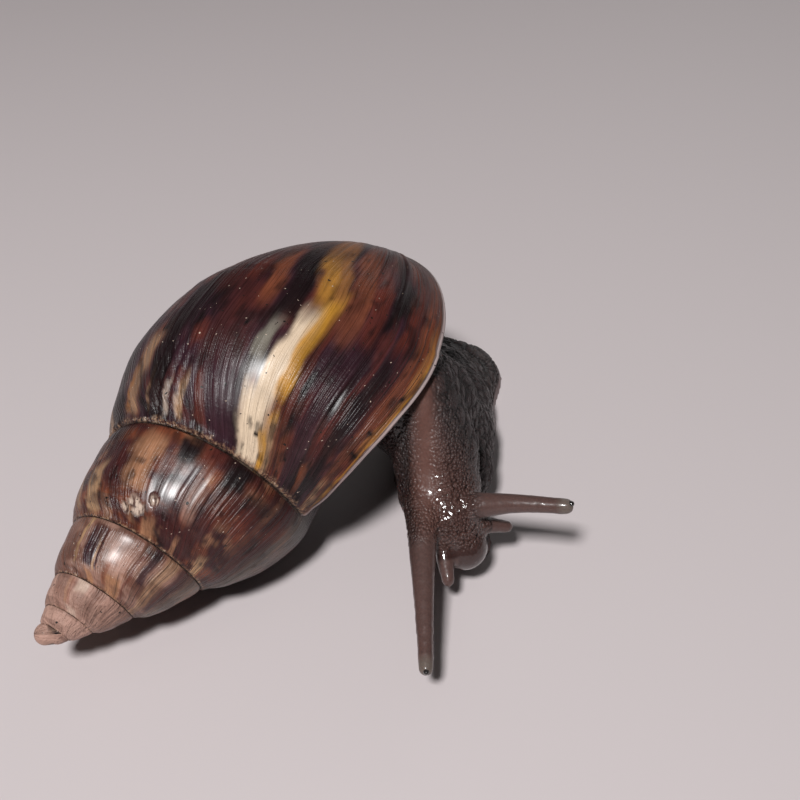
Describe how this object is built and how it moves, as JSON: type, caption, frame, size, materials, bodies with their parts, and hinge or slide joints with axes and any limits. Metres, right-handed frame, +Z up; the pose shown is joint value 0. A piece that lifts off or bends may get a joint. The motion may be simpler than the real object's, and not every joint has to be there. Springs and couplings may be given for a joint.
{
  "type": "giant african land snail",
  "caption": "Life-size giant african land snail resting on its foot, head out and feelers spread, with its brown-streaked conical shell beside it.",
  "frame": {"origin": "middle of the creeping sole, on the floor plane", "axes": "+Z up; -Y the way the head and neck point; +X the animal's left, where the left feelers reach; the shell lies on the right-hand side, at -X"},
  "size_m": [0.0747, 0.092, 0.044],
  "materials": {
    "shell": "glossy horn-like shell, dark purple-brown last turn with cream and amber streaks, paler mottled spire",
    "flesh": "wet grey-brown skin with fine tubercles, smooth warm band on the neck",
    "mantle": "wet dark mantle collar",
    "feeler": "smooth moist grey-brown",
    "eye": "glossy near-black"
  },
  "bodies": {
    "root": {"shell": "shell", "mantle": "mantle", "foot": "flesh", "tail": "flesh", "trunk": "flesh", "neck": "flesh", "head": "flesh", "tentacle_upper_right": "feeler", "tentacle_upper_left": "feeler", "tentacle_lower_right": "feeler", "tentacle_lower_left": "feeler", "eye_right": "eye", "eye_left": "eye"}
  },
  "joints": []
}
